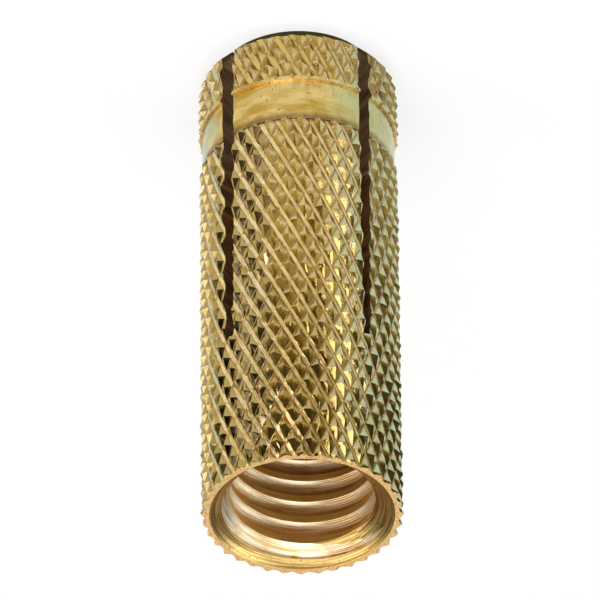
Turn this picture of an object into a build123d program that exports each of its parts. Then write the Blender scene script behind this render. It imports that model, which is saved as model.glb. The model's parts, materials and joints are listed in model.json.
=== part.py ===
from build123d import *
from math import cos, pi, radians, sin, tan
import os

# A brass expansion insert for an M10 screw in a 12 mm hole, standing on its slotted end with the mouth up.
# The origin is the middle of the slotted end. Lengths are in millimetres and angles in degrees.

# Metric thread that the insert is tapped with, and the sleeve wall from its outside to the knurl's crests
thread_diameter = 10.0
thread_pitch = 1.5
wall_over_thread = 0.92

# Sleeve, from the slotted end up: chamfered collar, plain neck, knurled body
insert_length = 32.0
collar_height = 4.4
collar_rise = 0.05
end_chamfer = 1.3
neck_height = 2.7
neck_depth = 0.24

# Raised diamond knurl
knurl_teeth = 36
knurl_depth = 0.3
knurl_angle = 26.5
knurl_turn = 1.4

# Bore: a countersunk mouth, and the taper in the fingers that a screw spreads them by
mouth_relief = 0.38
mouth_chamfer_angle = 47.0
taper_height = 12.0
taper_inset = 1.05

# Two crossed saw cuts make the four fingers, which stand apart at their ends, most in the cut along X
slot_length = 22.1
slot_root_width = 0.56
x_slot_end_width = 1.1
y_slot_end_width = 0.9

# How far a cutting profile runs past the material
overrun = 1.0

body_radius = thread_diameter / 2 + wall_over_thread
collar_radius = body_radius + collar_rise
neck_radius = body_radius - neck_depth
body_bottom = collar_height + neck_height
bore_radius = (thread_diameter - thread_pitch) / 2
mouth_radius = thread_diameter / 2 + mouth_relief
mouth_chamfer_depth = (mouth_radius - bore_radius) / tan(radians(mouth_chamfer_angle))


def knurl_ring(crest_radius, height, starts_with_crest):
    """One ring of knurl points, crest and root by turns, two for each tooth."""
    root_radius = crest_radius - knurl_depth
    half_tooth = pi / knurl_teeth
    ring = []
    for place in range(2 * knurl_teeth):
        is_crest = (place % 2 == 0) == starts_with_crest
        radius = crest_radius if is_crest else root_radius
        turn = radians(knurl_turn) + place * half_tooth
        ring.append((radius * cos(turn), radius * sin(turn), height))
    return ring


def knurled_bar(crest_radius, bottom, top):
    """A solid bar with a raised diamond knurl.

    Crests and roots change places from one ring to the next. Each four-sided cell between two rings is
    folded along the line that joins its two roots, so four cells meet in a pyramid round every crest and
    the roots join up into grooves of both hands.
    """
    tooth_width = 2 * pi * crest_radius / knurl_teeth
    tooth_height = tooth_width / tan(radians(knurl_angle))
    row_count = max(1, round((top - bottom) / (tooth_height / 2)))
    row_height = (top - bottom) / row_count
    rings = []
    for row in range(row_count + 1):
        rings.append(knurl_ring(crest_radius, top - row * row_height, starts_with_crest=row % 2 == 1))

    facets = [rings[0], rings[-1]]
    for row in range(row_count):
        for place in range(2 * knurl_teeth):
            beside = (place + 1) % (2 * knurl_teeth)
            upper, upper_beside = rings[row][place], rings[row][beside]
            lower, lower_beside = rings[row + 1][place], rings[row + 1][beside]
            if (row + place) % 2 == 0:
                facets += [(upper, lower_beside, upper_beside), (upper, lower, lower_beside)]
            else:
                facets += [(upper_beside, upper, lower), (upper_beside, lower, lower_beside)]
    return Solid(Shell([Face(Wire.make_polygon(corners)) for corners in facets]))


body_bar = knurled_bar(body_radius, body_bottom, insert_length)
collar_bar = knurled_bar(collar_radius, 0, collar_height)

with BuildPart() as insert:
    # Turned sleeve: knurled body and collar on either side of the plain neck
    with BuildSketch(Plane.XY.offset(collar_height)):
        Circle(neck_radius)
    extrude(amount=neck_height)
    add([body_bar, collar_bar], clean=False)

    # Lead-in chamfer round the slotted end, and the bore: taper, tap drill and countersunk mouth
    with BuildSketch(Plane.XZ):
        with BuildLine():
            Polyline(
                (collar_radius - end_chamfer, 0),
                (collar_radius + overrun, end_chamfer + overrun),
                (collar_radius + overrun, 0),
                close=True,
            )
        make_face()
        with BuildLine():
            Polyline(
                (0, 0),
                (bore_radius - taper_inset, 0),
                (bore_radius, taper_height),
                (bore_radius, insert_length - mouth_chamfer_depth),
                (mouth_radius, insert_length),
                (0, insert_length),
                close=True,
            )
        make_face()
    revolve(axis=Axis.Z, clean=False, mode=Mode.SUBTRACT)

    # Saw cuts, narrower where the fingers join the body
    for across_saw, end_width in ((Plane.YZ, x_slot_end_width), (Plane.XZ, y_slot_end_width)):
        with BuildSketch(across_saw):
            with BuildLine():
                Polyline(
                    (-end_width / 2, 0),
                    (end_width / 2, 0),
                    (slot_root_width / 2, slot_length),
                    (-slot_root_width / 2, slot_length),
                    close=True,
                )
            make_face()
    extrude(amount=2 * collar_radius, both=True, clean=False, mode=Mode.SUBTRACT)

insert.part.label = "insert_body"

os.makedirs("parts", exist_ok=True)
export_step(insert.part, "parts/insert_body.step")
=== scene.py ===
import json
from collections import namedtuple
from math import ceil, cos, floor, pi, radians, sin, tan

import bpy
import numpy as np
from mathutils import Matrix, Quaternion, Vector


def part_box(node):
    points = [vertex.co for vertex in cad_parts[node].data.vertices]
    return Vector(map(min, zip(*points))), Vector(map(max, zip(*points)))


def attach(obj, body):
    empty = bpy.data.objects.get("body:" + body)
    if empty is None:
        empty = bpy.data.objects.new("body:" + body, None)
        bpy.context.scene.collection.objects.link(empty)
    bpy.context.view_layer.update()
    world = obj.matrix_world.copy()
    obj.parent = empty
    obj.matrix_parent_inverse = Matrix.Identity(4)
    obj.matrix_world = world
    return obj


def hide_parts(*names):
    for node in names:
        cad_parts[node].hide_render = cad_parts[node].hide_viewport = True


# A brass expansion insert standing on its slotted end, mouth up, in metres
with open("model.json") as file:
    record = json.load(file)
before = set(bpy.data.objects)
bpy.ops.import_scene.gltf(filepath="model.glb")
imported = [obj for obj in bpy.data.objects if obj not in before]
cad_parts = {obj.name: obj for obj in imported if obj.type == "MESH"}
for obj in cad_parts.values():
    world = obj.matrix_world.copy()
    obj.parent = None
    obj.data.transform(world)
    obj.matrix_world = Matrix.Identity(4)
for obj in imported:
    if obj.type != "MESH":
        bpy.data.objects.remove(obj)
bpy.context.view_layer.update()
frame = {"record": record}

NODE = "insert_body"
PIECE = "knurled_insert"
MM = 0.001

# Sleeve, in millimetres: the mesh is built in millimetres and scaled to metres once it is whole
insert_length = (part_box(NODE)[1].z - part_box(NODE)[0].z) / MM
body_radius = 5.92
collar_radius = 5.945
collar_height = 4.4
collar_rim_height = 0.22
collar_rim_radius = 5.83
end_chamfer = 1.3
end_chamfer_run = 1.15
neck_radius = 5.68
neck_overlap = 0.12
body_bottom = 7.1
turned_segments = 288
sharp_angle = 22

# Ragged lower border of the body: the height of its ripples, and how many go round and the phase of each
border_wave = 0.07
border_ripples = ((23, 1), (36, 0), (71, 2))

# Bore, with an M10 thread in its upper part
mounts = {mount["name"]: mount for mount in frame["record"]["mounts"]}
bore_radius = mounts["thread"]["dims"]["r_mm"]
thread_radius = 5.0
thread_pitch = 1.5
thread_flank_angle = 30
thread_root_share = 1 / 8
thread_bottom = 12.0
thread_runout = 1.5
thread_turn = 145.3
thread_segments = 192
mouth_radius = 5.38
mouth_depth = 1.05
taper_end_radius = 3.2
taper_slope = (bore_radius - taper_end_radius) / thread_bottom
tap_allowance = 0.05

# Saw cuts: length, width where the fingers join the body and at their ends, and how uneven the walls are
slot_length = 22.1
slot_root_width = 0.56
slot_end_widths = {"x": 1.1, "y": 0.9}
saw_mark_spacing = 0.4
saw_mark_depth = 0.025

# Knurl: grooves of both hands, of which the falling ones are deeper and have a wider floor. Each kind has
# its depth, and half the width of its floor as a share of a tooth
knurl_teeth = 36
tooth_width = 2 * pi * body_radius / knurl_teeth
knurl_turn = 1.4
falling_angle = 26.5
rising_angle = 25.3
body_grooves = {"falling": (0.30, 0.12), "rising": (0.28, 0.045)}
collar_grooves = {"falling": (0.31, 0.17), "rising": (0.28, 0.09)}
groove_shade_radii = (5.62, 5.70)

# Unevenness of the knurl; an edge's wave rates are in radians for each millimetre along the bar
body_crest_wear = 0.09
collar_crest_wear = 0.03
depth_jitter_share = 0.05
edge_wave_share = 0.13
edge_wave_rates = (2.9, 13.0)
falling_shake_share = 0.018
rising_shake_share = 0.006
floor_least_share = 0.93
surface_grain = 0.003
burr_height = 0.04
burr_share = 0.01

# Mesh lines of the knurl: on each flank, from a groove's middle to the crest, and across a whole tooth
lines_per_flank = 2
crest_line = lines_per_flank + 2
lines_per_tooth = 2 * crest_line

# Sides of the sleeve where its painted reflections and painted shade change, as angles round the bore,
# named as the picture shows them
right_side = -126.7
right_front_side = -106.7
front_side = -46.7
front_left_side = -5.0
left_side = 38.3
front_shade_heights = (15.0, 25.0)

# How far blanks and cutters run past the material
overrun = 1.0

chance = np.random.default_rng(7)


def plug(tree, socket, value):
    """Sets a socket, or links another node's output to it."""
    if isinstance(value, bpy.types.NodeSocket):
        tree.links.new(value, socket)
    else:
        socket.default_value = value


def add(tree, kind, settings, inputs):
    """A new node with its properties and inputs; gives the node."""
    node = tree.nodes.new(kind)
    for name, value in settings.items():
        setattr(node, name, value)
    for name, value in inputs.items():
        plug(tree, node.inputs[name], value)
    return node


def combine(tree, operation, first, second=0.0):
    """A Math node on one or two values."""
    node = tree.nodes.new("ShaderNodeMath")
    node.operation = operation
    plug(tree, node.inputs[0], first)
    plug(tree, node.inputs[1], second)
    return node.outputs[0]


def times(tree, first, second):
    return combine(tree, "MULTIPLY", first, second)


# Position in millimetres, and radius, angle and height round the bore
Places = namedtuple("Places", "position radius angle height")


def places(tree):
    """Where a point of the object is."""
    coordinates = tree.nodes.new("ShaderNodeTexCoord").outputs["Object"]
    inputs = {"Vector": coordinates, "Scale": 1 / MM}
    scaled = add(tree, "ShaderNodeVectorMath", {"operation": "SCALE"}, inputs)
    position = scaled.outputs["Vector"]
    parts = add(tree, "ShaderNodeSeparateXYZ", {}, {"Vector": position}).outputs
    x_squared = times(tree, parts["X"], parts["X"])
    y_squared = times(tree, parts["Y"], parts["Y"])
    radius = combine(tree, "SQRT", combine(tree, "ADD", x_squared, y_squared))
    angle = combine(tree, "ARCTAN2", parts["Y"], parts["X"])
    return Places(position, radius, angle, parts["Z"])


def vector(tree, x, y, z):
    return add(tree, "ShaderNodeCombineXYZ", {}, {"X": x, "Y": y, "Z": z}).outputs[0]


def noise(tree, where, scale=1.0, detail=2.0):
    inputs = {"Vector": where, "Scale": scale, "Detail": detail}
    return add(tree, "ShaderNodeTexNoise", {}, inputs).outputs["Fac"]


def ramp(tree, value, low, high, low_out=0.0, high_out=1.0):
    """A value stretched from low..high to low_out..high_out and held there."""
    inputs = {"Value": value, "From Min": low, "From Max": high, "To Min": low_out, "To Max": high_out}
    return add(tree, "ShaderNodeMapRange", {"clamp": True}, inputs).outputs["Result"]


def blend(tree, amount, first, second, mode="MIX"):
    """Mixes two colours, or multiplies them."""
    inputs = {"Fac": amount, "Color1": first, "Color2": second}
    node = add(tree, "ShaderNodeMixRGB", {"blend_type": mode}, inputs)
    return node.outputs["Color"]


def colour(red, green, blue):
    return (red, green, blue, 1.0)


def metal(name):
    """A new metallic material; gives it with its node tree and its shader."""
    made = bpy.data.materials.new(name)
    made.use_nodes = True
    shader = made.node_tree.nodes["Principled BSDF"]
    shader.inputs["Metallic"].default_value = 1.0
    return made, made.node_tree, shader


def finish(tree, shader, base, roughness, height, depth):
    """Connects colour and roughness, and a bump whose full height is depth millimetres."""
    plug(tree, shader.inputs["Base Color"], base)
    plug(tree, shader.inputs["Roughness"], roughness)
    bump = add(tree, "ShaderNodeBump", {}, {"Strength": 1.0, "Distance": depth * MM, "Height": height})
    plug(tree, shader.inputs["Normal"], bump.outputs["Normal"])


def towards(tree, at, side):
    """1 on that side of the sleeve, 0 a quarter turn from it."""
    return combine(tree, "COSINE", combine(tree, "SUBTRACT", at.angle, radians(side)))


def on_collar(tree, at, amount):
    """That amount on the collar, and 0 above it."""
    return ramp(tree, at.height, collar_height, collar_height + neck_overlap, amount, 0.0)


def on_front_left(tree, at, start, end):
    """1 in the front left of the knurled body, 0 away from it and on the collar."""
    on_side = ramp(tree, towards(tree, at, front_left_side), start, end)
    on_body = ramp(tree, at.height, collar_height, body_bottom)
    return times(tree, on_side, on_body)


def painted_sides_and_shade(tree, at, base, right_painted_reflection, left_painted_reflection):
    """A colour that turns to others on two sides of the sleeve.

    The two sides are painted reflections of the surround. It is darker in front, towards the mouth, as
    painted shade, and brown where body and neck meet, as dirt and painted shade.
    """
    front_shade = colour(0.70, 0.665, 0.56)
    border_dirt_and_shade = colour(0.18, 0.105, 0.03)
    ragged = combine(tree, "SUBTRACT", noise(tree, at.position, scale=0.8, detail=3.0), 0.5)
    ragged = times(tree, ragged, 0.5)
    # Painted reflections of the surround on the right and left sides of the sleeve
    painted_side_reflections = (
        (right_painted_reflection, right_side, 0.40, 0.78),
        (left_painted_reflection, left_side, 0.86, 0.98),
    )
    for tint, side, start, end in painted_side_reflections:
        facing = combine(tree, "ADD", towards(tree, at, side), ragged)
        base = blend(tree, ramp(tree, facing, start, end), base, colour(*tint))
    # Painted shade in front of the sleeve, towards the mouth
    in_front = ramp(tree, towards(tree, at, front_side), 0.90, 0.98)
    near_mouth = ramp(tree, at.height, *front_shade_heights)
    base = blend(tree, times(tree, in_front, near_mouth), base, front_shade, "MULTIPLY")
    # Brown band where body and neck meet: dirt, and painted shade under the body's edge
    off_border = combine(tree, "ABSOLUTE", combine(tree, "SUBTRACT", at.height, body_bottom))
    wander = times(tree, noise(tree, at.position, scale=3.0), 0.5)
    off_border = combine(tree, "ADD", off_border, wander)
    return blend(tree, ramp(tree, off_border, 0.3, 0.7, 0.85, 0.0), base, border_dirt_and_shade)


# A kind of flank: its colours when fresh, in browned patches and on three sides of the sleeve, where they
# are painted reflections and painted shade, its least and most roughness, the depth of its grain in
# millimetres, and how brown it is on the collar
Flank = namedtuple("Flank", "fresh browned front_left right left roughness grain_depth collar_grime")

FALLING_FLANK = Flank(
    fresh=(0.48, 0.325, 0.075),
    browned=(0.32, 0.195, 0.045),
    # front_left, right and left: painted shade of the surround on these sides of the sleeve
    front_left=(0.42, 0.30, 0.09),
    right=(0.31, 0.245, 0.095),
    left=(0.34, 0.25, 0.09),
    roughness=(0.13, 0.22),
    grain_depth=0.014,
    collar_grime=0.10,
)
RISING_FLANK = Flank(
    fresh=(0.62, 0.475, 0.23),
    browned=(0.40, 0.28, 0.10),
    # front_left: painted shade; right: painted reflection of cool light; left: painted highlight
    front_left=(0.032, 0.025, 0.010),
    right=(0.42, 0.54, 0.33),
    left=(0.98, 0.80, 0.42),
    roughness=(0.12, 0.20),
    grain_depth=0.006,
    collar_grime=0.08,
)


def knurled_brass(name, flank):
    """Flanks of the knurl's pyramids, browned in patches, with painted shade where they meet the grooves
    and painted reflections and shade on the sides of the sleeve.
    """
    made, tree, shader = metal(name)
    at = places(tree)
    browned = colour(*flank.browned)
    groove_shade_brown = colour(0.26, 0.15, 0.035)
    collar_brown = colour(0.28, 0.17, 0.05)
    patches = ramp(tree, noise(tree, at.position, scale=1.1, detail=3.0), 0.45, 0.72, 0.0, 0.6)
    specks = ramp(tree, noise(tree, at.position, scale=9.0, detail=3.0), 0.50, 0.68)
    # Painted shade on the front left of the body
    front_left = on_front_left(tree, at, 0.90, 0.97)
    kept = ramp(tree, front_left, 0.0, 1.0, 1.0, 0.15)
    base = blend(tree, front_left, colour(*flank.fresh), colour(*flank.front_left))
    base = painted_sides_and_shade(tree, at, base, flank.right, flank.left)
    base = blend(tree, times(tree, patches, kept), base, browned)
    base = blend(tree, times(tree, times(tree, specks, 0.7), kept), base, browned)
    # Painted shade where the flanks meet the grooves
    base = blend(tree, ramp(tree, at.radius, *groove_shade_radii, 0.6, 0.0), base, groove_shade_brown)
    base = blend(tree, on_collar(tree, at, flank.collar_grime), base, collar_brown)
    grain = noise(tree, at.position, scale=8.0, detail=4.0)
    roughness = ramp(tree, noise(tree, at.position, scale=2.5), 0.3, 0.7, *flank.roughness)
    finish(tree, shader, base, roughness, grain, flank.grain_depth)
    return made


def grooved_brass():
    """Floors of the knurl's grooves, drawn out in fine lines along them, with painted highlight on the
    front left, painted shade along their edges and on the far right, and painted reflections on two sides.
    """
    made, tree, shader = metal("brass_grooved")
    at = places(tree)
    fresh = colour(0.68, 0.525, 0.23)
    collar_gold = colour(0.60, 0.44, 0.12)
    front_left_painted_highlight = colour(0.72, 0.59, 0.34)
    far_right_painted_shade = colour(0.24, 0.19, 0.08)
    patch_brown = colour(0.50, 0.35, 0.125)
    line_brown = colour(0.38, 0.25, 0.08)
    edge_painted_shade = colour(0.27, 0.16, 0.045)
    right_painted_reflection = (0.48, 0.46, 0.25)
    left_painted_reflection = (0.46, 0.50, 0.33)
    drop = times(tree, at.height, tan(radians(falling_angle)))
    across = combine(tree, "ADD", times(tree, at.angle, body_radius), drop)
    stretched = vector(tree, times(tree, across, 12.0), times(tree, at.height, 0.7), 0.0)
    lines = noise(tree, stretched)
    patches = ramp(tree, noise(tree, at.position, scale=1.4, detail=4.0), 0.45, 0.70)

    # Painted shade along the edges of the floors, most on the right
    from_first = combine(tree, "SUBTRACT", across, radians(knurl_turn) * body_radius)
    off_middle = combine(tree, "PINGPONG", combine(tree, "DIVIDE", from_first, tooth_width), 0.5)
    shaded = ramp(tree, towards(tree, at, right_front_side), 0.15, 0.8, 0.0, 0.85)
    shaded_edges = times(tree, ramp(tree, off_middle, 0.05, 0.11), shaded)

    base = blend(tree, on_collar(tree, at, 0.7), fresh, collar_gold)
    # Painted highlight on the front left of the body
    base = blend(tree, on_front_left(tree, at, 0.85, 0.95), base, front_left_painted_highlight)
    base = painted_sides_and_shade(tree, at, base, right_painted_reflection, left_painted_reflection)
    # Painted shade on the far right
    base = blend(tree, ramp(tree, towards(tree, at, right_side), 0.75, 0.92), base, far_right_painted_shade)
    base = blend(tree, patches, base, patch_brown)
    base = blend(tree, ramp(tree, lines, 0.52, 0.72, 0.0, 0.7), base, line_brown)
    base = blend(tree, shaded_edges, base, edge_painted_shade)
    finish(tree, shader, base, ramp(tree, patches, 0.0, 1.0, 0.20, 0.30), lines, depth=0.005)
    return made


def turned_brass():
    """The neck and the slotted end's chamfer, smeared and streaked round them, with stray marks, and with
    painted reflections and painted shade on its sides.
    """
    made, tree, shader = metal("brass_turned")
    at = places(tree)
    clean = colour(0.66, 0.50, 0.185)
    smeared = colour(0.46, 0.29, 0.045)
    streaked = colour(0.40, 0.27, 0.075)
    marked = colour(0.36, 0.235, 0.07)
    right_painted_reflection = (0.44, 0.47, 0.22)
    left_painted_reflection = (0.44, 0.50, 0.27)
    smear_place = vector(tree, times(tree, at.angle, 2.4), times(tree, at.height, 1.3), at.radius)
    smear = noise(tree, smear_place, detail=5.0)
    streaks = noise(tree, vector(tree, times(tree, at.angle, 18.0), at.height, at.radius), detail=4.0)
    lines = noise(tree, vector(tree, times(tree, at.angle, 1.5), at.height, at.radius), scale=9.0)
    marks = ramp(tree, noise(tree, at.position, scale=3.6), 0.66, 0.72)
    base = blend(tree, ramp(tree, smear, 0.44, 0.60), clean, smeared)
    # Painted reflections on two sides, painted shade in front and dirt with painted shade at the body's
    # edge
    base = painted_sides_and_shade(tree, at, base, right_painted_reflection, left_painted_reflection)
    base = blend(tree, ramp(tree, streaks, 0.50, 0.72, 0.0, 0.6), base, streaked)
    base = blend(tree, marks, base, marked)
    finish(tree, shader, base, ramp(tree, smear, 0.4, 0.7, 0.20, 0.34), lines, depth=0.007)
    return made


def faced_brass():
    """The land round the mouth, torn by the facing tool, and the collar's ledge."""
    made, tree, shader = metal("brass_faced")
    at = places(tree)
    bright = colour(0.95, 0.66, 0.31)
    torn = colour(0.62, 0.37, 0.13)
    grain = noise(tree, at.position, scale=7.0, detail=4.0)
    base = blend(tree, ramp(tree, grain, 0.42, 0.66), bright, torn)
    finish(tree, shader, base, 0.42, grain, depth=0.05)
    return made


def countersunk_brass():
    """The mouth's chamfer, with the rings that the countersink left."""
    made, tree, shader = metal("brass_countersunk")
    at = places(tree)
    bright = colour(0.76, 0.54, 0.21)
    ringed = colour(0.25, 0.14, 0.035)
    gritty = colour(0.40, 0.24, 0.07)
    pitted = colour(0.24, 0.13, 0.04)
    rings = noise(tree, vector(tree, times(tree, at.radius, 11.0), at.angle, 0.0), detail=4.0)
    grit = noise(tree, at.position, scale=8.0, detail=3.0)
    pits = ramp(tree, noise(tree, at.position, scale=4.0, detail=1.0), 0.68, 0.74)
    base = blend(tree, ramp(tree, rings, 0.42, 0.60), bright, ringed)
    base = blend(tree, ramp(tree, grit, 0.50, 0.72, 0.0, 0.7), base, gritty)
    base = blend(tree, pits, base, pitted)
    finish(tree, shader, base, 0.36, combine(tree, "ADD", rings, grit), depth=0.02)
    return made


def tapped_brass():
    """Thread flanks: pinker, with streaks along the thread, and with painted shade near its root below the
    mouth.
    """
    made, tree, shader = metal("brass_tapped")
    at = places(tree)
    pink = colour(1.0, 0.88, 0.65)
    streaked = colour(0.54, 0.27, 0.045)
    patched = colour(0.72, 0.43, 0.16)
    root_shade = colour(0.66, 0.36, 0.075)
    root_shade_radii = (bore_radius + 0.25, thread_radius - 0.1)
    unshaded_mouth_heights = (insert_length - 2.2, insert_length - 1.2)
    profile = vector(tree, times(tree, at.radius, 16.0), times(tree, at.angle, 1.2), 0.0)
    streaks = noise(tree, profile, detail=3.0)
    patches = noise(tree, at.position, scale=0.8)
    base = blend(tree, ramp(tree, streaks, 0.48, 0.60), pink, streaked)
    base = blend(tree, ramp(tree, patches, 0.55, 0.75), base, patched)
    # Painted shade near the thread's root, fading out by the mouth
    near_root = ramp(tree, at.radius, *root_shade_radii, 0.0, 0.85)
    below_mouth = ramp(tree, at.height, *unshaded_mouth_heights, 1.0, 0.0)
    base = blend(tree, times(tree, near_root, below_mouth), base, root_shade)
    finish(tree, shader, base, 0.38, streaks, depth=0.02)
    return made


def bored_brass():
    """The bore's wall and the thread's crests."""
    made, tree, shader = metal("brass_bored")
    at = places(tree)
    bright = colour(0.98, 0.68, 0.23)
    marked = colour(0.80, 0.50, 0.13)
    marks = noise(tree, vector(tree, at.angle, times(tree, at.height, 14.0), at.radius))
    base = blend(tree, ramp(tree, marks, 0.4, 0.7), bright, marked)
    finish(tree, shader, base, 0.40, marks, depth=0.008)
    return made


def sawn_brass():
    """Saw cuts, dark brown as painted shade, with slanting marks of the saw's teeth."""
    made, tree, shader = metal("brass_sawn")
    at = places(tree)
    # The dark brown of the cut's walls is painted shade
    browned = colour(0.17, 0.10, 0.035)
    scraped = colour(0.38, 0.24, 0.09)
    slant = combine(tree, "ADD", times(tree, at.height, 7.0), times(tree, at.radius, 5.0))
    marks = noise(tree, vector(tree, slant, times(tree, at.radius, 0.4), 0.0))
    base = blend(tree, ramp(tree, marks, 0.4, 0.65), browned, scraped)
    finish(tree, shader, base, 0.45, marks, depth=0.03)
    return made


# Every mesh of the build carries the same list, so a face keeps its finish through the cuts
finishes = [
    knurled_brass("brass_knurled", FALLING_FLANK),
    knurled_brass("brass_crossed", RISING_FLANK),
    grooved_brass(),
    turned_brass(),
    faced_brass(),
    countersunk_brass(),
    tapped_brass(),
    bored_brass(),
    sawn_brass(),
]
KNURLED, CROSSED, GROOVED, TURNED, FACED, COUNTERSUNK, TAPPED, BORED, SAWN = range(len(finishes))


def mesh_object(name, points, faces, finish_of_faces):
    """A mesh object from points in millimetres; the finish is one number or one for each face."""
    mesh = bpy.data.meshes.new(name)
    mesh.from_pydata([tuple(point) for point in points], [], faces)
    for made in finishes:
        mesh.materials.append(made)
    kinds = np.broadcast_to(finish_of_faces, len(faces)).astype(np.int32)
    mesh.polygons.foreach_set("material_index", kinds)
    mesh.update()
    made = bpy.data.objects.new(name, mesh)
    bpy.context.scene.collection.objects.link(made)
    return made


def boolean(target, tool, operation):
    """target becomes target cut by, joined to or limited by tool, and tool is removed."""
    step = target.modifiers.new("step", "BOOLEAN")
    step.operation = operation
    step.object = tool
    step.solver = "MANIFOLD"
    graph = bpy.context.evaluated_depsgraph_get()
    result = bpy.data.meshes.new_from_object(target.evaluated_get(graph))
    target.modifiers.clear()
    spent = [target.data, tool.data]
    target.data = result
    bpy.data.objects.remove(tool)
    for mesh in spent:
        bpy.data.meshes.remove(mesh)


def round_bar(out, turn, height):
    """Points in a row, from arrays of their radii, angles and heights."""
    return np.stack([out * np.cos(turn), out * np.sin(turn), height], axis=-1).reshape(-1, 3)


def groove_knots(floor_share, corner_share):
    """Places across one tooth, from groove middle to groove middle, where the mesh has a line."""
    flank_steps = np.arange(lines_per_flank) / lines_per_flank
    half = [floor_share, *(corner_share + (0.5 - corner_share) * flank_steps)]
    return np.array([0.0, *half, 0.5, *(1.0 - place for place in reversed(half))])


def uneven_grooves(place, height, depth, floor_share):
    """Grooves whose depth differs from one to the next and whose edges wander along them.

    A whole number is the middle of a groove. Gives the depth, and its share of that groove's full depth.
    """
    groove = np.round(place).astype(int) % knurl_teeth
    depths = depth * (1 + depth_jitter_share * chance.standard_normal(knurl_teeth))
    phases = 2 * pi * chance.random((len(edge_wave_rates), knurl_teeth))
    wander = sum(np.sin(rate * height + phase[groove]) for rate, phase in zip(edge_wave_rates, phases))
    floor_shares = floor_share * (1 + edge_wave_share * wander)
    across = np.abs(place - np.round(place))
    depth_share = 1.0 - np.clip((across - floor_shares) / (0.5 - floor_shares), 0.0, 1.0)
    return depths[groove] * depth_share, depth_share


def knurl_depths(s, t, height, grooves, crest_wear):
    """How deep each point of a knurl lies under its crests, with worn crests, grain and burrs.

    Gives that depth, how much deeper the rising groove is there than the falling one, and the share of its
    full depth that each of the two, falling first, has there.
    """
    falling, falling_share = uneven_grooves(s, height, *grooves["falling"])
    rising, rising_share = uneven_grooves(t, height, *grooves["rising"])
    s_cell = np.floor(s).astype(int)
    row = s_cell - np.floor(t).astype(int)
    row = row - row.min()
    wear = crest_wear * chance.random((knurl_teeth, row.max() + 1))
    depth = np.maximum(np.maximum(falling, rising), wear[s_cell % knurl_teeth, row])
    burrs = burr_height * chance.random(depth.shape) * (chance.random(depth.shape) < burr_share)
    depth = depth + surface_grain * chance.standard_normal(depth.shape) - burrs
    return np.maximum(depth, 0.0), rising - falling, falling_share, rising_share


def knurl_finishes(triangles, rising_lead, falling_share, rising_share):
    """The finish of each triangle: the floor of a falling groove, or a flank of either kind."""
    is_rising = rising_lead.ravel()[triangles].mean(axis=1) > 0
    is_floor = (falling_share.ravel()[triangles] > floor_least_share).all(axis=1)
    is_crossing = (rising_share.ravel()[triangles] > floor_least_share).all(axis=1)
    flanks = np.where(is_rising & ~is_crossing, CROSSED, KNURLED)
    return list(np.where(is_floor, GROOVED, flanks))


def knurled_blank(name, radius, bottom, top, grooves, crest_wear):
    """A closed knurled bar, longer than needed, whose mesh lines follow the grooves of both hands.

    s counts falling grooves round the bar and t rising ones; their difference gives the height. The mesh
    has a line at the corners of the pyramids that stand between the grooves, so each facet is flat.
    """
    falling_depth, falling_floor = grooves["falling"]
    rising_depth, rising_floor = grooves["rising"]
    corner_share = 0.5 - (0.5 - falling_floor) * rising_depth / falling_depth
    s_knots = groove_knots(falling_floor, corner_share)
    t_knots = groove_knots(rising_floor / 2, rising_floor)
    falling_rate = tan(radians(falling_angle)) / radius
    rising_rate = tan(radians(rising_angle)) / radius
    tooth_turn = 2 * pi / knurl_teeth
    cells_per_mm = (falling_rate + rising_rate) / tooth_turn
    first = floor((bottom - overrun) * cells_per_mm * lines_per_tooth)
    last = ceil((top + overrun) * cells_per_mm * lines_per_tooth)
    columns = knurl_teeth * lines_per_tooth

    s_line, climb = np.meshgrid(np.arange(columns), np.arange(first, last + 1))
    t_line = s_line - climb
    s = s_line // lines_per_tooth + s_knots[s_line % lines_per_tooth]
    t = t_line // lines_per_tooth + t_knots[t_line % lines_per_tooth]
    height = (s - t) / cells_per_mm
    depth, rising_lead, falling_share, rising_share = knurl_depths(s, t, height, grooves, crest_wear)

    # Torn edges: each point is shaken along the surface, a little
    s_shaken = s + falling_shake_share * chance.standard_normal(s.shape)
    t_shaken = t + rising_shake_share * chance.standard_normal(t.shape)
    height = (s_shaken - t_shaken) / cells_per_mm
    turn = s_shaken * tooth_turn - falling_rate * height + radians(knurl_turn)
    points = round_bar(radius - depth, turn, height)

    def at(column, line):
        return (line - first) * columns + column % columns

    # Each four-sided cell of the mesh is folded towards the crest of its pyramid
    column, line = (grid.ravel() for grid in np.meshgrid(np.arange(columns), np.arange(first + 1, last)))
    here, below = at(column, line), at(column, line - 1)
    beside, above_beside = at(column + 1, line), at(column + 1, line + 1)
    s_before_crest = column % lines_per_tooth < crest_line
    t_before_crest = (column - line) % lines_per_tooth < crest_line
    folds_across = s_before_crest != t_before_crest
    lower = np.where(folds_across, [here, below, above_beside], [here, below, beside]).T
    upper = np.where(folds_across, [below, beside, above_beside], [here, beside, above_beside]).T
    triangles = np.vstack([lower, upper])
    kinds = knurl_finishes(triangles, rising_lead, falling_share, rising_share)

    # Fans that close both ends
    faces = triangles.tolist()
    low_hub, high_hub = len(points), len(points) + 1
    points = np.vstack([points, [(0, 0, height.min()), (0, 0, height.max())]])
    for place in range(columns):
        faces.append((high_hub, at(place, last - 1), at(place + 1, last)))
        faces.append((high_hub, at(place + 1, last), at(place + 1, last - 1)))
        faces.append((low_hub, at(place + 1, first + 1), at(place, first)))
        faces.append((low_hub, at(place, first), at(place, first + 1)))
    kinds += [KNURLED] * (len(faces) - len(kinds))
    return mesh_object(name, points, faces, np.array(kinds))


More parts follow.
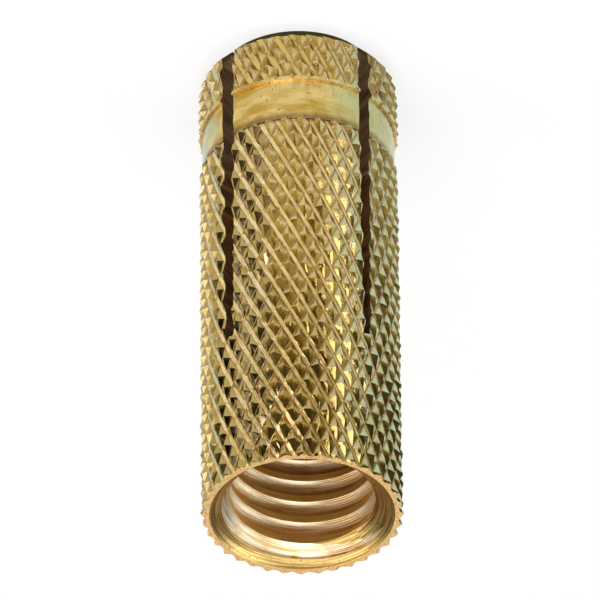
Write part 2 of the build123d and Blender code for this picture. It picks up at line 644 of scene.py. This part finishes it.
def turned(name, profile, cap_finish, wave=0.0, sides=TURNED):
    """A closed solid of revolution from (radius, height) corners listed upwards.

    cap_finish is the finish of its upper end. wave ripples its lower edge, and sides is the finish of its
    walls, one number or one for each wall.
    """
    angles = 2 * pi * np.arange(turned_segments) / turned_segments
    ripple = wave * sum(np.sin(count * angles + phase) for count, phase in border_ripples)
    points = [(0, 0, profile[0][1])]
    for index, (radius, height) in enumerate(profile):
        lift = ripple if index == 0 else np.zeros(turned_segments)
        points += list(round_bar(radius, angles, height + lift))
    points.append((0, 0, profile[-1][1]))
    faces = []
    kinds = []
    for segment in range(turned_segments):
        beside = (segment + 1) % turned_segments
        faces.append((0, 1 + beside, 1 + segment))
        for ring in range(len(profile) - 1):
            low, high = 1 + ring * turned_segments, 1 + (ring + 1) * turned_segments
            faces.append((low + segment, low + beside, high + beside, high + segment))
        top = 1 + (len(profile) - 1) * turned_segments
        faces.append((len(points) - 1, top + segment, top + beside))
        kinds += [TURNED, *np.broadcast_to(sides, len(profile) - 1), cap_finish]
    return mesh_object(name, points, faces, np.array(kinds))


def bore_plug(name):
    """A closed plug of the plain bore: taper, a bore just short of the tap drill's, countersunk mouth."""
    short_radius = bore_radius - tap_allowance
    mouth_slope = (mouth_radius - bore_radius) / mouth_depth
    profile = [
        (taper_end_radius - overrun * taper_slope, -overrun),
        (bore_radius, thread_bottom),
        (short_radius, thread_bottom + tap_allowance),
        (short_radius, insert_length - (mouth_radius - short_radius) / mouth_slope),
        (mouth_radius + overrun * mouth_slope, insert_length + overrun),
    ]
    return turned(name, profile, BORED, sides=[BORED, BORED, BORED, COUNTERSUNK])


def thread_plug(name):
    """A closed plug with the thread standing out of it, which cuts the tap drill's bore and the thread."""
    thread_depth = thread_radius - bore_radius
    root_edge = thread_root_share / 2
    crest_edge = root_edge + thread_depth * tan(radians(thread_flank_angle)) / thread_pitch
    mid_flank = (root_edge + crest_edge) / 2
    knots = np.array([-root_edge, root_edge, mid_flank, crest_edge, 1 - crest_edge, 1 - mid_flank])
    rise = np.array([1.0, 1.0, 0.5, 0.0, 0.0, 0.5])
    per_pitch = len(knots)
    crest_strip = 3
    first_pitch = floor(-overrun / thread_pitch) - 1
    last_pitch = ceil((insert_length + overrun) / thread_pitch)
    rows = (last_pitch - first_pitch) * per_pitch
    row, column = np.meshgrid(np.arange(rows), np.arange(thread_segments), indexing="ij")
    turn_share = column / thread_segments
    height = (first_pitch + row // per_pitch + knots[row % per_pitch] + turn_share) * thread_pitch
    turn = 2 * pi * turn_share + radians(thread_turn)
    inside_taper = bore_radius + (height - thread_bottom) * taper_slope - tap_allowance
    fade = np.clip((height - thread_bottom) / thread_runout, 0.0, 1.0)
    grooved = bore_radius + thread_depth * fade * rise[row % per_pitch]
    points = round_bar(np.where(height > thread_bottom, grooved, inside_taper), turn, height)

    def at(line, place):
        """A point's number; past the last place of a turn comes the first, one pitch higher."""
        if place == thread_segments:
            return (line + per_pitch) * thread_segments
        return line * thread_segments + place

    faces = []
    kinds = []
    for line in range(rows - 1):
        has_next_turn = line + per_pitch + 1 < rows
        places_here = thread_segments if has_next_turn else thread_segments - 1
        for place in range(places_here):
            beside = place + 1
            faces.append((at(line, place), at(line, beside), at(line + 1, beside), at(line + 1, place)))
        kinds += [BORED if line % per_pitch == crest_strip else TAPPED] * places_here

    # Fans that close both ends, each round a step of one pitch
    low_loop = [at(0, place) for place in range(thread_segments)]
    low_loop += [at(line, 0) for line in range(per_pitch, 0, -1)]
    high_loop = [at(rows - 1, place) for place in range(thread_segments)]
    high_loop += [at(line, thread_segments - 1) for line in range(rows - 2, rows - 2 - per_pitch, -1)]
    low_hub, high_hub = len(points), len(points) + 1
    points = np.vstack([points, [(0, 0, height[0].mean()), (0, 0, height[-1].mean())]])
    for here, there in zip(low_loop, low_loop[1:] + low_loop[:1]):
        faces.append((low_hub, there, here))
    for here, there in zip(high_loop, high_loop[1:] + high_loop[:1]):
        faces.append((high_hub, here, there))
    kinds += [BORED] * (len(low_loop) + len(high_loop))
    return mesh_object(name, points, faces, np.array(kinds))


def saw_slab(name, axis):
    """A closed tapered slab with uneven walls, the saw's cut along that axis, through both sides."""
    reach = collar_radius + overrun
    end_half = slot_end_widths[axis] / 2
    root_half = slot_root_width / 2
    steps = round(slot_length / saw_mark_spacing)
    heights = slot_length * np.arange(steps + 1) / steps
    halves = end_half + (root_half - end_half) * heights / slot_length
    right, left = halves + saw_mark_depth * chance.standard_normal((2, steps + 1))
    outline = [(-end_half, -overrun), (end_half, -overrun)]
    outline += list(zip(right, heights))
    outline += list(zip(-left[::-1], heights[::-1]))
    points = []
    for end in (-reach, reach):
        for across, height in outline:
            points.append((end, across, height) if axis == "x" else (across, -end, height))
    count = len(outline)
    faces = [tuple(range(count - 1, -1, -1)), tuple(range(count, 2 * count))]
    for corner in range(count):
        beside = (corner + 1) % count
        faces.append((corner, beside, count + beside, count + corner))
    return mesh_object(name, points, faces, SAWN)


# Knurled body and collar, limited to their lengths and joined by the neck
insert = knurled_blank(PIECE, body_radius, body_bottom, insert_length, body_grooves, body_crest_wear)
limit_radius = collar_radius + 2 * overrun
body_profile = [(limit_radius, body_bottom), (limit_radius, insert_length)]
boolean(insert, turned("body_limit", body_profile, FACED, border_wave), "INTERSECT")
collar = knurled_blank("collar", collar_radius, 0, collar_height, collar_grooves, collar_crest_wear)
collar_profile = [
    (collar_radius - end_chamfer_run, 0),
    (collar_radius + end_chamfer_run, 2 * end_chamfer),
    (collar_radius + end_chamfer_run, collar_height),
]
boolean(collar, turned("collar_limit", collar_profile, FACED), "INTERSECT")
neck_profile = [(neck_radius, collar_height - neck_overlap), (neck_radius, body_bottom + neck_overlap)]
boolean(insert, turned("neck", neck_profile, SAWN), "UNION")
rim_profile = [(collar_rim_radius, collar_height - collar_rim_height), (collar_rim_radius, collar_height)]
boolean(insert, turned("collar_rim", rim_profile, FACED), "UNION")
boolean(insert, collar, "UNION")

# Bore, thread and saw cuts
boolean(insert, bore_plug("bore_plug"), "DIFFERENCE")
boolean(insert, thread_plug("thread_plug"), "DIFFERENCE")
for saw_axis in slot_end_widths:
    boolean(insert, saw_slab("slab_" + saw_axis, saw_axis), "DIFFERENCE")
insert.data.transform(Matrix.Scale(MM, 4))
insert.data.shade_smooth()
insert.data.set_sharp_from_angle(angle=radians(sharp_angle))

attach(insert, "root")
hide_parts(NODE)

# Camera, rolled half a turn because the photograph shows the slotted end up; distances are in metres
camera_azimuth = 43.3
camera_elevation = 37.53
camera_roll = 180.0 - 0.62
camera_distance = 0.773
camera_lens = 792.0
sensor_width = 36.0
clip_distances = (0.01, 10.0)
aim = Vector((0, 0, 16.35 * MM))


def direction(azimuth, elevation):
    """Unit vector from the object; azimuth is counted from the camera, positive to the picture's right."""
    turn = radians(camera_azimuth - azimuth)
    rise = radians(elevation)
    return Vector((sin(turn) * cos(rise), -cos(turn) * cos(rise), sin(rise)))


camera = bpy.data.objects.new("camera", bpy.data.cameras.new("camera"))
bpy.context.scene.collection.objects.link(camera)
camera.data.lens = camera_lens
camera.data.sensor_width = sensor_width
camera.data.clip_start, camera.data.clip_end = clip_distances
to_camera = direction(0, camera_elevation)
facing = (-to_camera).to_track_quat("-Z", "Y").to_matrix().to_4x4()
roll = Matrix.Rotation(radians(camera_roll), 4, "Z")
camera.matrix_world = Matrix.Translation(aim + to_camera * camera_distance) @ facing @ roll
bpy.context.scene.camera = camera


def lamp(name, azimuth, elevation, distance, size, power, tint, lean=0.0):
    """A soft lamp, aimed at the object.

    size is its width and height in metres, power is in watts, and lean tips its top rightwards.
    """
    data = bpy.data.lights.new(name, "AREA")
    data.shape = "RECTANGLE"
    data.size, data.size_y = size
    data.energy = power
    data.color = tint
    made = bpy.data.objects.new(name, data)
    bpy.context.scene.collection.objects.link(made)
    to_lamp = direction(azimuth, elevation)
    made.location = aim + to_lamp * distance
    made.rotation_mode = "QUATERNION"
    made.rotation_quaternion = (-to_lamp).to_track_quat("-Z", "Y") @ Quaternion((0, 0, 1), radians(lean))
    made.visible_camera = False


WARM = (1.0, 0.95, 0.88)
lamp("front", 0, 33, distance=0.6, size=(0.8, 0.4), power=2.4, tint=(1.0, 0.98, 0.95))
lamp("left", -75, 42, distance=0.6, size=(0.45, 0.45), power=1.65, tint=WARM)
lamp("right", 80, 40, distance=0.6, size=(0.45, 0.45), power=1.65, tint=(0.92, 0.99, 1.0))
lamp("overhead", 0, 84, distance=0.5, size=(0.22, 0.22), power=0.75, tint=(1.0, 0.96, 0.92))
lamp("back", 180, 38, distance=0.6, size=(0.45, 0.45), power=0.75, tint=WARM)
lamp("glint", -14, 5, distance=0.039, size=(0.016, 0.031), power=0.0070, tint=(0.92, 0.95, 1.25), lean=4)

# Glowing cards standing round the object, in metres, and a dark ring under it, in millimetres, seen only
# in the metal: painted reflections of the surround and painted shadow under the part.
# A standing card fades between two heights, in millimetres
card_radius = 0.042
near_card_radius = 0.012
card_height = 0.030
card_step = 5
card_fade_heights = (3.0, 18.0)
card_foot_strength = 1.85
card_top_strength = 0.3
foot_inner_radius = 4.5
foot_lift = 0.02


def glowing_card(name, points, faces, tint, fades=False):
    """A glowing card of one colour, no lamp, that shows only in the metal as a painted reflection, bright
    all over or lighter at the foot.
    """
    mesh = bpy.data.meshes.new(name)
    mesh.from_pydata(points, [], faces)
    made = bpy.data.objects.new(name, mesh)
    bpy.context.scene.collection.objects.link(made)
    paint = bpy.data.materials.new(name)
    paint.use_nodes = True
    tree = paint.node_tree
    shader = tree.nodes["Principled BSDF"]
    shader.inputs["Base Color"].default_value = colour(0, 0, 0)
    shader.inputs["Specular IOR Level"].default_value = 0.0
    shader.inputs["Emission Color"].default_value = colour(*tint)
    strength = 1.0
    if fades:
        height = places(tree).height
        strength = ramp(tree, height, *card_fade_heights, card_foot_strength, card_top_strength)
    plug(tree, shader.inputs["Emission Strength"], strength)
    mesh.materials.append(paint)
    made.visible_camera = False
    made.visible_diffuse = False
    made.visible_shadow = False


def standing_card(name, first_azimuth, last_azimuth, tint, radius=card_radius, fades=True):
    """A curved glowing card that stands round the object from one azimuth to another, a painted
    reflection.
    """
    points = []
    faces = []
    for azimuth in range(first_azimuth, last_azimuth + 1, card_step):
        foot = direction(azimuth, 0) * radius
        points += [tuple(foot), (foot.x, foot.y, card_height)]
        if azimuth > first_azimuth:
            count = len(points)
            faces.append((count - 4, count - 2, count - 1, count - 3))
    glowing_card(name, points, faces, tint, fades)


def foot_shadow_card(name, tint):
    """A dark glowing ring under the slotted end, which only the end's chamfer mirrors: painted shadow of
    the gap under the part.
    """
    azimuths = range(0, 360, card_step)
    points = []
    for radius in (foot_inner_radius, collar_radius):
        for azimuth in azimuths:
            foot = direction(azimuth, 0) * radius * MM
            points.append((foot.x, foot.y, foot_lift * MM))
    count = len(azimuths)
    faces = []
    for here in range(count):
        beside = (here + 1) % count
        faces.append((here, beside, count + beside, count + here))
    glowing_card(name, points, faces, tint)


# Painted reflections: mid-tone on the sides and dark in front
standing_card("left_card", -120, -50, (0.53, 0.455, 0.235))
standing_card("front_card", -50, 20, (0.18, 0.15, 0.08))
standing_card("right_card", 20, 110, (0.43, 0.38, 0.185))
# A bright glowing card whose reflection paints highlights on the far left
standing_card("near_card", -95, -70, (1.2, 1.12, 0.88), near_card_radius, fades=False)
# Painted shadow under the slotted end, seen in its chamfer
foot_shadow_card("foot_shadow_card", (0.05, 0.063, 0.037))

# Floor, in metres, and the world's light
floor_reach = 3.0
floor_grey = 0.9
floor_roughness = 0.9
floor_glow_share = 0.7
world_strength = 0.10


def pale_floor():
    """The floor's finish.

    What is seen of it, straight or in the metal, is mostly its own light, so the shadow stays pale.
    """
    made = bpy.data.materials.new("floor")
    made.use_nodes = True
    tree = made.node_tree
    shader = tree.nodes["Principled BSDF"]
    shader.inputs["Base Color"].default_value = colour(floor_grey, floor_grey, floor_grey)
    shader.inputs["Roughness"].default_value = floor_roughness
    shader.inputs["Specular IOR Level"].default_value = 0.0
    ray = tree.nodes.new("ShaderNodeLightPath").outputs
    seen = combine(tree, "MAXIMUM", ray["Is Camera Ray"], ray["Is Glossy Ray"])
    seen = combine(tree, "MAXIMUM", seen, ray["Is Transmission Ray"])
    glow = add(tree, "ShaderNodeEmission", {}, {"Color": colour(1, 1, 1), "Strength": 1.0})
    mix = tree.nodes.new("ShaderNodeMixShader")
    plug(tree, mix.inputs[0], times(tree, seen, floor_glow_share))
    plug(tree, mix.inputs[1], shader.outputs["BSDF"])
    plug(tree, mix.inputs[2], glow.outputs["Emission"])
    plug(tree, tree.nodes["Material Output"].inputs["Surface"], mix.outputs["Shader"])
    return made


corner_signs = ((-1, -1), (1, -1), (1, 1), (-1, 1))
floor_corners = [(x * floor_reach, y * floor_reach, 0) for x, y in corner_signs]
floor_mesh = bpy.data.meshes.new("floor")
floor_mesh.from_pydata(floor_corners, [], [(0, 1, 2, 3)])
floor_mesh.materials.append(pale_floor())
floor_piece = bpy.data.objects.new("floor", floor_mesh)
bpy.context.scene.collection.objects.link(floor_piece)

world = bpy.data.worlds.new("world")
world.use_nodes = True
background = world.node_tree.nodes["Background"]
background.inputs["Color"].default_value = colour(1, 1, 1)
background.inputs["Strength"].default_value = world_strength
bpy.context.scene.world = world

bpy.context.scene.view_settings.view_transform = "Standard"
